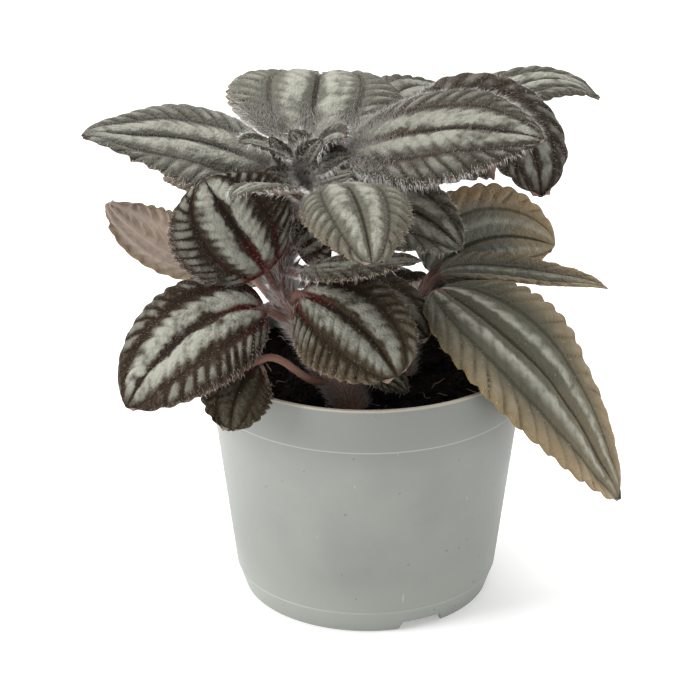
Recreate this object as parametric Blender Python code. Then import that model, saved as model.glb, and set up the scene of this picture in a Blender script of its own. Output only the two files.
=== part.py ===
# Friendship plant in a thin plastic nursery pot.
# Origin: centre of the pot's foot on the surface it stands on. +Z up, -Y towards the front.
# The design values are in millimetres and are turned into metres where a mesh is made.

import math
from collections import namedtuple

import bmesh
import bpy
from mathutils import Vector
from mathutils import noise

MM = 0.001
TOUCH_GAP = 0.3

# Pot: a tapered cup with a band under its lip and a low notched foot ring.
POT_TOP = 71.7
LIP_RADIUS = 45.0
BAND_RADIUS = 44.4
BAND_LOW = 59.0
BODY_TOP_RADIUS = 43.8
FOOT_TOP = 6.9
FOOT_TOP_RADIUS = 37.3
FOOT_RADIUS = 34.5
POT_WALL = 1.2
FLOOR_LOW = 4.2
FLOOR_TOP = 5.4
POT_SIDES = 48
NOTCH_COUNT = 3
NOTCH_FIRST_DEG = -64.0
NOTCH_HALF_WIDE = 7.2
NOTCH_SLANT = 1.4
NOTCH_HIGH = 2.8
DRAIN_COUNT = 6
DRAIN_RADIUS = 3.2
DRAIN_CIRCLE = 24.0

# Compost that fills the pot to a little under its lip.
SOIL_TOP = 63.5
SOIL_BUMP = 1.6
SOIL_SIDES = 24
SOIL_RINGS = (0.93, 0.7, 0.46, 0.22)

# Leaves: a blade with three sunken ribs and a toothed edge, on a round leaf stalk.
BLADE_THICK = 0.7
RIB_DEPTH = 0.9
TOOTH_DEPTH = 1.1
TOOTH_CREST = 0.62
COLUMNS = (-0.5, -0.25, 0.0, 0.25, 0.5)
STALK_RADIUS = 1.1
STALK_SIDES = 6
STALK_SINK = 0.1
STEM_SIDES = 8
STEM_STEP = 4.0

# A shoot is a stem that stands in the compost: the points of its centre line and its radius at each.
Shoot = namedtuple("Shoot", "name points radii")
SHOOTS = (
    Shoot("main_shoot",
          ((-3, -20, 50), (-6, -23, 68), (-14, -23, 82),
           (-23, -17, 97), (-21, -8, 112), (-18, -3, 126)),
          (4.6, 4.4, 3.9, 3.2, 2.6, 1.9)),
    Shoot("right_shoot", ((9, 2, 50), (10, 2, 66), (12, 0, 78), (13, -2, 88)), (3.4, 3.2, 2.7, 2.0)),
    Shoot("back_shoot", ((-8, 20, 50), (-8, 21, 66), (-6, 25, 82), (-4, 27, 96)), (3.2, 3.0, 2.6, 1.9)),
)

# A leaf: its shoot and the height on it where the stalk starts, then the base, middle and tip of its
# midrib, its full width, the way its upper side faces, the angles by which its halves fold up from
# the midrib and curl down towards the edge, the teeth on each side, and how pointed it is.
Leaf = namedtuple("Leaf", "name shoot height base mid tip width face fold curl teeth point")
LEAVES = (
    Leaf("leaf_top_left", "main_shoot", 121, (-26, -6, 126), (-49, -10, 135.5), (-74.4, -21, 140),
         33, (0, -4, 8), 5, 34, 12, 0.8),
    Leaf("leaf_top_back", "main_shoot", 123, (-16, 5, 129), (-14, 20, 141), (-13, 42, 139),
         52, (0, -5, 8), 12, 40, 12, 0.6),
    Leaf("leaf_top_right", "main_shoot", 124, (-5, -9, 132), (22, -22, 142), (46, -31, 142),
         34, (0, -6, 8), 10, 50, 12, 0.8),
    Leaf("leaf_top_broad", "main_shoot", 120, (5, 0, 123), (36, 7, 136), (48, 2, 115),
         37, (2, -6, 7), 5, 40, 12, 0.6),
    Leaf("leaf_top_far_right", "main_shoot", 113, (10, 13, 118), (41, 31, 137.5), (67, 40, 132),
         21, (0, -3, 9), 8, 40, 12, 0.8),
    Leaf("leaf_top_far_back", "main_shoot", 116, (-8, 14, 125), (10, 38, 134), (25, 56, 129),
         26, (0, -3, 9), 8, 40, 12, 0.8),
    Leaf("leaf_front_left", "main_shoot", 119, (-18, -20, 123), (-27, -34, 130), (-35, -45, 131),
         15, (-1, 1, 9), 10, 40, 9, 0.8),
    Leaf("leaf_front_droop", "main_shoot", 118, (-8, -19, 125), (-3, -40, 128), (1, -56, 117),
         32, (0, -3, 9), 5, 45, 12, 0.6),
    Leaf("leaf_right_fan", "main_shoot", 110, (-8, -12, 118), (9, -19, 120), (25, -25, 110),
         27, (2, -6, 6), 5, 40, 9, 0.6),
    Leaf("young_leaf_left", "main_shoot", 125, (-22, -7, 129), (-28, -12, 134), (-34, -17, 137),
         12, (1, -2, 9), 15, 25, 7, 0.8),
    Leaf("young_leaf_middle", "main_shoot", 126, (-13, -5, 130), (-9, -10, 135), (-6, -16, 138),
         12, (0, -6, 8), 15, 25, 7, 0.8),
    Leaf("leaf_middle_upright", "main_shoot", 96, (-27, -21, 102), (-36, -24.5, 117.5), (-43, -22.5, 128.5),
         38, (1.5, -9, 3), 8, 45, 12, 0.6),
    Leaf("leaf_lower_left", "main_shoot", 89, (-27, -26, 93), (-46, -35, 91), (-64, -41, 71),
         40, (-2, -6, 9), 8, 40, 12, 0.6),
    Leaf("leaf_lower_front", "main_shoot", 92, (-18, -27, 98), (-4, -37, 94), (8, -44, 81),
         35, (0, -7, 8), 5, 45, 12, 0.5),
    Leaf("leaf_middle_right", "main_shoot", 99, (-17, -25, 103), (-3, -30, 106), (14, -34, 110),
         20, (0, 0, 9), 10, 30, 9, 0.7),
    Leaf("leaf_lower_dark", "main_shoot", 86, (-9, -18, 92), (3, -19, 93), (17, -22, 83),
         28, (2, -5, 8), 5, 40, 10, 0.6),
    Leaf("leaf_middle_small", "main_shoot", 103, (-19, -15, 106), (-14, -15, 109), (-8, -16, 113),
         15, (1, -8, 4), 20, 20, 7, 0.7),
    Leaf("leaf_rim_round", "main_shoot", 74, (-29, -38, 83), (-34, -43, 77), (-36, -47, 67),
         20, (-1, -9, 4), 5, 30, 9, 0.5),
    Leaf("leaf_shade_small", "main_shoot", 71, (2, -23, 73), (6, -26, 73), (11, -29, 70),
         11, (0, -4, 8), 10, 20, 6, 0.7),
    Leaf("leaf_back_left", "main_shoot", 93, (-38, 2, 96), (-57, 8, 99), (-72, 10, 111),
         27, (0, 7, 4), 10, 20, 10, 0.7),
    Leaf("leaf_big_right", "right_shoot", 84, (19, -9, 92), (46, -24, 75), (72.7, -4, 26),
         37, (4, -6, 5), 8, 25, 14, 0.7),
    Leaf("leaf_right_folded", "right_shoot", 87, (20, 0, 93), (41, 5, 89.5), (68, 8, 86),
         17, (0, -2, 9), 30, 10, 10, 0.7),
    Leaf("leaf_right_upright", "right_shoot", 82, (18, 6, 91), (34, 16, 98), (54, 24, 93),
         34, (0, -8, 4), 10, 40, 12, 0.6),
    Leaf("leaf_back_right", "right_shoot", 77, (19, 14, 78), (31, 31, 78), (42, 48, 66),
         24, (1, 1, 9), 8, 40, 9, 0.7),
    Leaf("leaf_back_centre", "back_shoot", 93, (0, 33, 98), (6, 44, 101), (12, 55.5, 96),
         26, (0, 3, 9), 8, 40, 10, 0.7),
    Leaf("leaf_back_wide", "back_shoot", 90, (-12, 31, 94), (-29, 42, 98), (-46, 53, 89),
         31, (-2, 2, 9), 8, 40, 10, 0.7),
    Leaf("leaf_back_side", "back_shoot", 87, (3, 29, 90), (23, 39, 92), (43, 50, 82),
         28, (1, 2, 9), 8, 40, 10, 0.7),
    Leaf("leaf_back_low_left", "back_shoot", 76, (-14, 30, 78), (-28, 41, 78), (-41, 51, 66),
         24, (-2, 3, 9), 8, 40, 9, 0.7),
    Leaf("leaf_back_low_right", "back_shoot", 74, (-1, 31, 77), (8, 43, 78), (16, 55, 68),
         24, (1, 3, 9), 8, 40, 9, 0.7),
    Leaf("leaf_behind_left", "main_shoot", 106, (-27, 4, 112), (-42, 20, 118), (-55, 37, 109),
         33, (-1, 1, 9), 8, 40, 11, 0.7),
    Leaf("leaf_behind_top", "main_shoot", 109, (-14, 8, 116), (-12, 26, 121), (-11, 50, 112),
         33, (0, 1, 9), 8, 40, 11, 0.7),
)


def material(name, colour, roughness):
    """A plain Principled finish."""
    made = bpy.data.materials.new(name)
    made.use_nodes = True
    shader = made.node_tree.nodes["Principled BSDF"]
    shader.inputs["Base Color"].default_value = (*colour, 1.0)
    shader.inputs["Roughness"].default_value = roughness
    shader.inputs["Metallic"].default_value = 0.0
    return made


def mesh_object(name, points_mm, faces, finish=None):
    """A mesh object from points in millimetres, with its faces turned outwards."""
    mesh = bpy.data.meshes.new(name)
    mesh.from_pydata([Vector(p) * MM for p in points_mm], [], faces)
    work = bmesh.new()
    work.from_mesh(mesh)
    bmesh.ops.recalc_face_normals(work, faces=work.faces)
    work.to_mesh(mesh)
    work.free()
    if finish:
        mesh.materials.append(finish)
    mesh.shade_smooth()
    mesh.set_sharp_from_angle(angle=math.radians(40))
    thing = bpy.data.objects.new(name, mesh)
    bpy.context.scene.collection.objects.link(thing)
    return thing


def boolean(target, tool, operation):
    """A Boolean of target with tool, which is kept as a hidden cutter."""
    step = target.modifiers.new(tool.name, "BOOLEAN")
    step.operation = operation
    step.solver = "EXACT"
    step.object = tool
    tool.hide_render = True
    tool.display_type = "WIRE"


def fuse(target, tool):
    """Joins tool into target as one solid, and removes tool."""
    boolean(target, tool, "UNION")
    graph = bpy.context.evaluated_depsgraph_get()
    mesh = bpy.data.meshes.new_from_object(target.evaluated_get(graph))
    target.modifiers.clear()
    target.data = mesh
    bpy.data.objects.remove(tool)


def lathe(profile, sides, lift=None):
    """Points and faces of a profile of (radius, height) turned about Z. It starts and ends on the axis."""
    points = []
    rings = []
    for radius, height in profile:
        if radius == 0:
            rings.append([len(points)])
            points.append((0, 0, height))
            continue
        rings.append(list(range(len(points), len(points) + sides)))
        for i in range(sides):
            angle = math.tau * i / sides
            x, y = radius * math.cos(angle), radius * math.sin(angle)
            points.append((x, y, height + (lift(x, y, height) if lift else 0)))
    faces = []
    for low, high in zip(rings, rings[1:]):
        for i in range(sides):
            j = (i + 1) % sides
            if len(low) == 1:
                faces.append((low[0], high[j], high[i]))
            elif len(high) == 1:
                faces.append((low[i], low[j], high[0]))
            else:
                faces.append((low[i], low[j], high[j], high[i]))
    return points, faces


def tube(path, radii, sides):
    """Points and faces of a round tube with flat ends along a path of Vectors."""
    points = []
    side = None
    for i, here in enumerate(path):
        ahead = path[min(i + 1, len(path) - 1)]
        behind = path[max(i - 1, 0)]
        along = (ahead - behind).normalized()
        if side is None:
            side = along.orthogonal().normalized()
        side = (side - along * side.dot(along)).normalized()
        other = along.cross(side)
        for k in range(sides):
            angle = math.tau * k / sides
            points.append(here + radii[i] * (side * math.cos(angle) + other * math.sin(angle)))
    faces = [tuple(range(sides))[::-1], tuple(range(len(points) - sides, len(points)))]
    for i in range(len(path) - 1):
        for k in range(sides):
            a, b = i * sides + k, i * sides + (k + 1) % sides
            faces.append((a, b, b + sides, a + sides))
    return points, faces


def smooth_through(points, values, share):
    """The place and value at a share, 0 to 1, of a smooth curve through the points."""
    spans = len(points) - 1
    at = min(share * spans, spans - 1e-9)
    i = int(at)
    t = at - i
    ends = [max(i - 1, 0), i, i + 1, min(i + 2, spans)]
    a, b, c, d = (Vector(points[k]) for k in ends)
    square, cube = 2 * a - 5 * b + 4 * c - d, 3 * b - a - 3 * c + d
    place = 0.5 * (2 * b + (c - a) * t + square * t * t + cube * t ** 3)
    return place, values[i] + (values[i + 1] - values[i]) * t


def shoot_line(shoot):
    """Points about STEM_STEP apart along a shoot's centre line, and the radius at each."""
    length = sum((Vector(b) - Vector(a)).length for a, b in zip(shoot.points, shoot.points[1:]))
    steps = round(length / STEM_STEP)
    pairs = [smooth_through(shoot.points, shoot.radii, i / steps) for i in range(steps + 1)]
    return [p for p, _ in pairs], [r for _, r in pairs]


def shoot_at(name, height):
    """The centre and radius of a shoot at a height."""
    shoot = next(s for s in SHOOTS if s.name == name)
    path, radii = shoot_line(shoot)
    nearest = min(range(len(path)), key=lambda i: abs(path[i].z - height))
    along = (path[min(nearest + 1, len(path) - 1)] - path[max(nearest - 1, 0)]).normalized()
    return path[nearest], radii[nearest], along


def outline(leaf, u):
    """The half width of a leaf at share u of its length, as a share of its widest."""
    rise, fall = 0.5, leaf.point
    widest = rise / (rise + fall)
    return (u / widest) ** rise * ((1 - u) / (1 - widest)) ** fall


def midrib(leaf, u):
    """The point of the midrib at share u, and its direction there."""
    base, mid, tip = Vector(leaf.base), Vector(leaf.mid), Vector(leaf.tip)
    bend = 2 * mid - (base + tip) / 2
    place = (1 - u) ** 2 * base + 2 * u * (1 - u) * bend + u * u * tip
    return place, (2 * (1 - u) * (bend - base) + 2 * u * (tip - bend)).normalized()


def blade_point(leaf, u, v):
    """A point of the blade's upper face: u from base to tip, v from -1 at one edge to 1 at the other."""
    place, along = midrib(leaf, u)
    face = Vector(leaf.face)
    up = (face - along * face.dot(along)).normalized()
    side = along.cross(up)
    half = leaf.width / 2 * outline(leaf, u)
    fold, curl = math.radians(leaf.fold), math.radians(leaf.curl)
    a = abs(v)
    across = (math.sin(fold) - math.sin(fold - curl * a)) / curl
    lift = (math.cos(fold - curl * a) - math.cos(fold)) / curl
    ridge = RIB_DEPTH * abs(math.sin(math.tau * a)) * outline(leaf, u) * min(1, leaf.width / 20)
    return place + side * math.copysign(across * half, v) + up * (lift * half + ridge)


def blade_normal(leaf, u, v):
    """The upward normal of the blade, from small steps along and across it."""
    step = 0.02
    along = blade_point(leaf, min(u + step, 1), v) - blade_point(leaf, max(u - step, 0), v)
    across = blade_point(leaf, u, v + step) - blade_point(leaf, u, v - step)
    return across.cross(along).normalized()


def edge_stations(leaf):
    """The (u, v) of one edge, tooth by tooth: a notch, then a crest that leans to the tip."""
    first, last = 0.03, 0.98
    pitch = (last - first) / leaf.teeth
    stations = []
    for k in range(leaf.teeth):
        u = first + k * pitch
        depth = TOOTH_DEPTH * min(1, leaf.width / 20)
        stations.append((u, max(0.55, 1 - depth / (leaf.width / 2 * outline(leaf, u)))))
        stations.append((u + TOOTH_CREST * pitch, 1.0))
    return stations


def zip_strip(inner, outer):
    """Triangles between two lines of (u, index) that start and end at the same points."""
    faces = []
    i = j = 0
    while i < len(inner) - 1 or j < len(outer) - 1:
        take_inner = j == len(outer) - 1 or (i < len(inner) - 1 and inner[i + 1][0] <= outer[j + 1][0])
        if take_inner:
            corners = (inner[i][1], inner[i + 1][1], outer[j][1])
            i += 1
        else:
            corners = (inner[i][1], outer[j + 1][1], outer[j][1])
            j += 1
        if len(set(corners)) == 3:
            faces.append(corners)
    return faces


def blade_mesh(leaf):
    """Points and faces of a blade: its upper and lower faces, split alike, and the edge between them."""
    row_count = 6 if leaf.width > 22 else 4
    rows = [0.05 + 0.88 * k / (row_count - 1) for k in range(row_count)]
    upper = [(0.0, 0.0), (1.0, 0.0)]
    columns = []
    for v in COLUMNS:
        line = [(0.0, 0)]
        for u in rows:
            line.append((u, len(upper)))
            upper.append((u, v))
        columns.append(line + [(1.0, 1)])
    edges = []
    for sign in (-1, 1):
        line = [(0.0, 0)]
        for u, v in edge_stations(leaf):
            line.append((u, len(upper)))
            upper.append((u, sign * v))
        edges.append(line + [(1.0, 1)])
    half = []
    for left, right in zip(columns, columns[1:]):
        half += zip_strip(left, right)
    half += zip_strip(columns[0], edges[0])
    half += zip_strip(columns[-1], edges[1])
    count = len(upper)
    points = []
    for u, v in upper:
        points.append(blade_point(leaf, u, v))
    for u, v in upper:
        inside = min(max(u, 0.03), 0.97)
        points.append(blade_point(leaf, u, v) - BLADE_THICK * blade_normal(leaf, inside, v))
    faces = half + [tuple(i + count for i in face[::-1]) for face in half]
    for line in edges:
        for (_, a), (_, b) in zip(line, line[1:]):
            faces += [(a, b, b + count), (a, b + count, a + count)]
    return points, faces


def stalk_path(leaf):
    """The centre line of a leaf stalk: square off its stem, then into the underside of the blade."""
    centre, radius, axis = shoot_at(leaf.shoot, leaf.height)
    start_way = Vector(leaf.base) - centre
    start_way = (start_way - axis * start_way.dot(axis)).normalized()
    start = centre + start_way * (radius + TOUCH_GAP + 0.1)
    under = BLADE_THICK / 2
    _, along = midrib(leaf, 0.0)
    join = blade_point(leaf, 0.02, 0) - blade_normal(leaf, 0.03, 0) * under
    last = blade_point(leaf, STALK_SINK, 0) - blade_normal(leaf, STALK_SINK, 0) * under
    reach = (join - start).length * 0.4
    corners = (start, start + start_way * reach, join - along * reach, join)
    path = []
    steps = 4
    for k in range(steps + 1):
        t = k / steps
        a, b, c, d = corners
        path.append(a * (1 - t) ** 3 + b * 3 * t * (1 - t) ** 2 + c * 3 * t * t * (1 - t) + d * t ** 3)
    return path + [last]


def make_leaf(leaf, finish):
    """A leaf: its blade with its stalk fused to it."""
    thing = mesh_object(leaf.name, *blade_mesh(leaf), finish)
    path = stalk_path(leaf)
    thickness = STALK_RADIUS * min(1.0, 0.5 + leaf.width / 50)
    radii = [thickness] * (len(path) - 2) + [thickness * 0.9, thickness * 0.55]
    fuse(thing, mesh_object(leaf.name + "_stalk", *tube(path, radii, STALK_SIDES), finish))
    return thing


def make_pot(finish):
    """The pot, turned from its profile, with foot notches and drain holes cut out."""
    inner_top = BODY_TOP_RADIUS - POT_WALL
    inner_low = FOOT_TOP_RADIUS - POT_WALL
    profile = (
        (0, FLOOR_LOW), (FOOT_TOP_RADIUS - 2.6, FLOOR_LOW), (FOOT_RADIUS - 1.3, 0.0), (FOOT_RADIUS, 0.0),
        (FOOT_RADIUS + 0.5, 0.5), (FOOT_TOP_RADIUS, FOOT_TOP), (BODY_TOP_RADIUS, BAND_LOW - 0.3),
        (BAND_RADIUS, BAND_LOW), (LIP_RADIUS - 0.2, POT_TOP - 1.0), (LIP_RADIUS, POT_TOP - 0.6),
        (LIP_RADIUS - 0.3, POT_TOP), (LIP_RADIUS - 1.1, POT_TOP), (LIP_RADIUS - 1.5, POT_TOP - 0.8),
        (inner_top, BAND_LOW - 1.0), (inner_low, FOOT_TOP + 0.6), (inner_low - 1.2, FLOOR_TOP),
        (0, FLOOR_TOP),
    )
    pot = mesh_object("pot", *lathe(profile, POT_SIDES), finish)
    for k in range(NOTCH_COUNT):
        angle = math.radians(NOTCH_FIRST_DEG + k * 360 / NOTCH_COUNT)
        out = Vector((math.cos(angle), math.sin(angle), 0))
        along = Vector((-math.sin(angle), math.cos(angle), 0))
        shape = ((-NOTCH_HALF_WIDE, -1), (NOTCH_HALF_WIDE, -1), (NOTCH_HALF_WIDE - NOTCH_SLANT, NOTCH_HIGH),
                 (NOTCH_SLANT - NOTCH_HALF_WIDE, NOTCH_HIGH))
        points = [out * r + along * a + Vector((0, 0, z)) for r in (28, 42) for a, z in shape]
        faces = [(3, 2, 1, 0), (4, 5, 6, 7)] + [(i, (i + 1) % 4, (i + 1) % 4 + 4, i + 4) for i in range(4)]
        boolean(pot, mesh_object(f"notch_cutter_{k}", points, faces), "DIFFERENCE")
    for k in range(DRAIN_COUNT):
        angle = math.tau * (k + 0.5) / DRAIN_COUNT
        x, y = DRAIN_CIRCLE * math.cos(angle), DRAIN_CIRCLE * math.sin(angle)
        ends = [Vector((x, y, FLOOR_LOW - 1)), Vector((x, y, FLOOR_TOP + 1))]
        boolean(pot, mesh_object(f"drain_cutter_{k}", *tube(ends, [DRAIN_RADIUS] * 2, 12)), "DIFFERENCE")
    return pot


def soil_lift(x, y, height):
    """The bumps of the compost's surface, none elsewhere."""
    if height < SOIL_TOP:
        return 0
    return SOIL_BUMP * noise.noise(Vector((x, y, 0)) * 0.11)


def make_soil(finish):
    """The compost: it fits inside the pot, has a bumpy top, and a plain hole for each shoot."""
    foot_share = (SOIL_TOP - FOOT_TOP) / (BAND_LOW - FOOT_TOP)
    outer_radius = FOOT_TOP_RADIUS + (BODY_TOP_RADIUS - FOOT_TOP_RADIUS) * foot_share
    top_radius = outer_radius - POT_WALL - TOUCH_GAP - 0.5
    low_radius = FOOT_TOP_RADIUS - POT_WALL - TOUCH_GAP - 0.3
    profile = [(0, FLOOR_TOP + TOUCH_GAP), (low_radius - 1.3, FLOOR_TOP + TOUCH_GAP),
               (low_radius, FOOT_TOP + 1.0), (top_radius, SOIL_TOP - 1.5)]
    profile += [(top_radius * share, SOIL_TOP) for share in SOIL_RINGS] + [(0, SOIL_TOP)]
    soil = mesh_object("soil", *lathe(profile, SOIL_SIDES, soil_lift), finish)
    for shoot in SHOOTS:
        path, radii = shoot_line(shoot)
        inside = [i for i, p in enumerate(path) if p.z < SOIL_TOP + 8]
        way = (path[0] - path[1]).normalized()
        line = [path[0] + way * TOUCH_GAP] + [path[i] for i in inside[1:]]
        wide = [radii[i] + TOUCH_GAP + 0.1 for i in inside]
        boolean(soil, mesh_object(shoot.name + "_hole", *tube(line, wide, STEM_SIDES)), "DIFFERENCE")
    return soil


def main():
    for old in list(bpy.data.objects):
        bpy.data.objects.remove(old)
    leaf_green = material("leaf_green", (0.16, 0.17, 0.13), 0.7)
    stem_pink = material("stem_pink", (0.36, 0.17, 0.13), 0.65)
    pot_plastic = material("pot_plastic", (0.50, 0.54, 0.50), 0.45)
    compost = material("compost", (0.025, 0.018, 0.013), 0.95)
    make_pot(pot_plastic)
    make_soil(compost)
    for shoot in SHOOTS:
        mesh_object(shoot.name, *tube(*shoot_line(shoot), STEM_SIDES), stem_pink)
    for leaf in LEAVES:
        make_leaf(leaf, leaf_green)


main()
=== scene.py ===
# %% [markdown]
# A friendship plant in a plastic nursery pot.
# The solids come from the frame: one node for the pot, the compost, each shoot and each leaf.
# This lesson dresses them. Most solids are swapped for a finer piece of the same form, because quilted,
# hairy leaves can't be told by colour alone: their puckers, teeth and hairs are real geometry here.

# %% Tools and frame
import math
from collections import namedtuple

import bmesh
import bpy
import numpy as np
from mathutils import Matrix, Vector, noise


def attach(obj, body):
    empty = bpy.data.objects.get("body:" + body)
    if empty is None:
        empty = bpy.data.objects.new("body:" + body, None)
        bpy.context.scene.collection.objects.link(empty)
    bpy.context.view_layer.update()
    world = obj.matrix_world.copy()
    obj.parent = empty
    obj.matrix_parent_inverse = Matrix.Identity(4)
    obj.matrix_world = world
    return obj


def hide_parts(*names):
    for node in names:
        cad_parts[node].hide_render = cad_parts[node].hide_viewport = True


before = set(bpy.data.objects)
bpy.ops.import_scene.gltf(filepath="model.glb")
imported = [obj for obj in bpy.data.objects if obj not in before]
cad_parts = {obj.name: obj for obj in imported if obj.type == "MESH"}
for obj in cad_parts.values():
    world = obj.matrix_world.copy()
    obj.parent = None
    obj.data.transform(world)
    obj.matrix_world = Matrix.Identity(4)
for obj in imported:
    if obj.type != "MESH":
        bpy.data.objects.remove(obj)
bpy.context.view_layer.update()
MM = 0.001


def put(name, data):
    """A new object in the scene."""
    thing = bpy.data.objects.new(name, data)
    bpy.context.scene.collection.objects.link(thing)
    return thing


print("solids in the frame:", len(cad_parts))

# %% [markdown]
# The camera first, because everything else is judged through it.
# The pot's rim and foot are circles of known size, so the ellipses they make in the photograph give the
# angle, the distance and the lens. The plant stands a little right of the middle of the picture.

# %% Camera
VIEW_TILT = math.radians(22.5)
VIEW_DISTANCE = 0.675
LENS = 123.6
SENSOR_WIDTH = 36
AIM = Vector((-0.0046, 0, 0.0706))

camera = put("camera", bpy.data.cameras.new("camera"))
camera.data.lens = LENS
camera.data.sensor_width = SENSOR_WIDTH
camera.location = AIM + VIEW_DISTANCE * Vector((0, -math.cos(VIEW_TILT), math.sin(VIEW_TILT)))
camera.rotation_euler = (math.pi / 2 - VIEW_TILT, 0, 0)
bpy.context.scene.camera = camera
print("camera", round(VIEW_DISTANCE * 1000), "mm away")

# %% [markdown]
# Soft light. The photograph is a catalogue picture: bright from above and the left,
# with hardly a shadow. A large area light gives the hairs and puckers their shape, a second one fills,
# and a white world keeps the background white.

# %% Light
# Each light has its name, its place and size in metres, and its power in watts.
LIGHTS = (
    ("overhead_light", (-0.15, 0.2, 1.3), 1.1, 21.0),
    ("left_light", (-0.95, -0.35, 0.5), 0.6, 11.0),
    ("right_light", (1.0, 0.1, 0.6), 0.7, 3.5),
)
WORLD_STRENGTH = 0.38


def area_light(name, place, size, watts):
    """A square light that looks at the middle of the plant."""
    lamp = put(name, bpy.data.lights.new(name, "AREA"))
    lamp.data.size = size
    lamp.data.energy = watts
    lamp.location = place
    lamp.rotation_euler = (AIM - Vector(place)).to_track_quat("-Z", "Y").to_euler()


for light in LIGHTS:
    area_light(*light)

world = bpy.data.worlds.new("white_room")
world.use_nodes = True
world.node_tree.nodes["Background"].inputs["Color"].default_value = (1, 1, 1, 1)
world.node_tree.nodes["Background"].inputs["Strength"].default_value = WORLD_STRENGTH
bpy.context.scene.world = world
bpy.context.scene.view_settings.view_transform = "Standard"
print("lights:", len(LIGHTS))

# %% [markdown]
# Materials are small trees of nodes. A few helpers keep them short: they add a node and fill or link its
# inputs, do one step of arithmetic, blend two colours, or read a value that the mesh carries.

# %% Node helpers
def add(tree, kind, inputs=None, **settings):
    """A new node with its settings, and its inputs filled with values or linked to sockets."""
    node = tree.nodes.new(kind)
    for key, value in settings.items():
        setattr(node, key, value)
    for key, value in (inputs or {}).items():
        if isinstance(value, bpy.types.NodeSocket):
            tree.links.new(value, node.inputs[key])
        else:
            node.inputs[key].default_value = value
    return node


def maths(tree, operation, *values):
    """One step of arithmetic."""
    return add(tree, "ShaderNodeMath", dict(enumerate(values)), operation=operation).outputs[0]


def ramp(tree, value, low, high):
    """0 below low, 1 above high, smooth between. With low above high it falls."""
    rising = low < high
    ends = (0.0, 1.0) if rising else (1.0, 0.0)
    inputs = {"Value": value, "From Min": min(low, high), "From Max": max(low, high),
              "To Min": ends[0], "To Max": ends[1]}
    return add(tree, "ShaderNodeMapRange", inputs, interpolation_type="SMOOTHSTEP").outputs[0]


def blend(tree, factor, first, second):
    """A colour between two colours."""
    node = tree.nodes.new("ShaderNodeMix")
    node.data_type = "RGBA"
    for socket, value in ((node.inputs[0], factor), (node.inputs[6], first), (node.inputs[7], second)):
        if isinstance(value, bpy.types.NodeSocket):
            tree.links.new(value, socket)
        elif isinstance(value, tuple):
            socket.default_value = (*value, 1.0)
        else:
            socket.default_value = value
    return node.outputs[2]


def attribute(tree, name):
    """The value of a mesh attribute."""
    return add(tree, "ShaderNodeAttribute", attribute_name=name).outputs["Fac"]


def speckle(tree, scale, detail=4.0, place=None):
    """Noise about 0.5, on Object coordinates unless a place is given."""
    place = place or add(tree, "ShaderNodeTexCoord").outputs["Object"]
    return add(tree, "ShaderNodeTexNoise", {"Vector": place, "Scale": scale, "Detail": detail}).outputs["Fac"]


def new_material(name, roughness):
    """A material and its tree and shader."""
    made = bpy.data.materials.new(name)
    made.use_nodes = True
    shader = made.node_tree.nodes["Principled BSDF"]
    shader.inputs["Roughness"].default_value = roughness
    return made, made.node_tree, shader


def finish_material(tree, shader, colour, height=None, depth=0.0):
    """Links the colour, and the height as a bump of a depth in metres."""
    tree.links.new(colour, shader.inputs["Base Color"])
    if height:
        bump = add(tree, "ShaderNodeBump", {"Height": height, "Distance": depth, "Strength": 1.0})
        tree.links.new(bump.outputs[0], shader.inputs["Normal"])


print("node helpers ready")

# %% [markdown]
# The floor is a plain white square that glows a little: painted light, so that it stays white far behind the
# plant and lifts the shade on the pot's foot and under the leaves.

# %% Floor
FLOOR_REACH = 6.0
FLOOR_GLOW = 0.3
FLOOR_DARK = (0.92, 0.92, 0.92)
FLOOR_PALE = (0.94, 0.94, 0.94)


def make_floor():
    """A white floor, wide enough for any view."""
    mesh = bpy.data.meshes.new("floor")
    far = FLOOR_REACH
    mesh.from_pydata([(-far, -far, 0), (far, -far, 0), (far, far, 0), (-far, far, 0)], [], [(0, 1, 2, 3)])
    floor = put("floor", mesh)
    white, tree, shader = new_material("floor_white", 0.9)
    colour = blend(tree, speckle(tree, 30.0), FLOOR_DARK, FLOOR_PALE)
    finish_material(tree, shader, colour)
    # Painted light: the floor's glow shines on the plant and the pot from below.
    shader.inputs["Emission Color"].default_value = (1, 1, 1, 1)
    shader.inputs["Emission Strength"].default_value = FLOOR_GLOW
    mesh.materials.append(white)


make_floor()
print("floor", 2 * FLOOR_REACH, "m wide")

# %% [markdown]
# The leaves' design, the same as in the solids. Each has its shoot and the height on it where its stalk
# starts, then the base, middle and tip of its midrib, its width, the way it faces, how it folds and
# curls, its teeth and how pointed it is. Sizes are in millimetres.

# %% Leaf and shoot design
Shoot = namedtuple("Shoot", "name points radii")
SHOOTS = (
    Shoot("main_shoot",
          ((-3, -20, 50), (-6, -23, 68), (-14, -23, 82),
           (-23, -17, 97), (-21, -8, 112), (-18, -3, 126)),
          (4.6, 4.4, 3.9, 3.2, 2.6, 1.9)),
    Shoot("right_shoot", ((9, 2, 50), (10, 2, 66), (12, 0, 78), (13, -2, 88)), (3.4, 3.2, 2.7, 2.0)),
    Shoot("back_shoot", ((-8, 20, 50), (-8, 21, 66), (-6, 25, 82), (-4, 27, 96)), (3.2, 3.0, 2.6, 1.9)),
)

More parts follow.
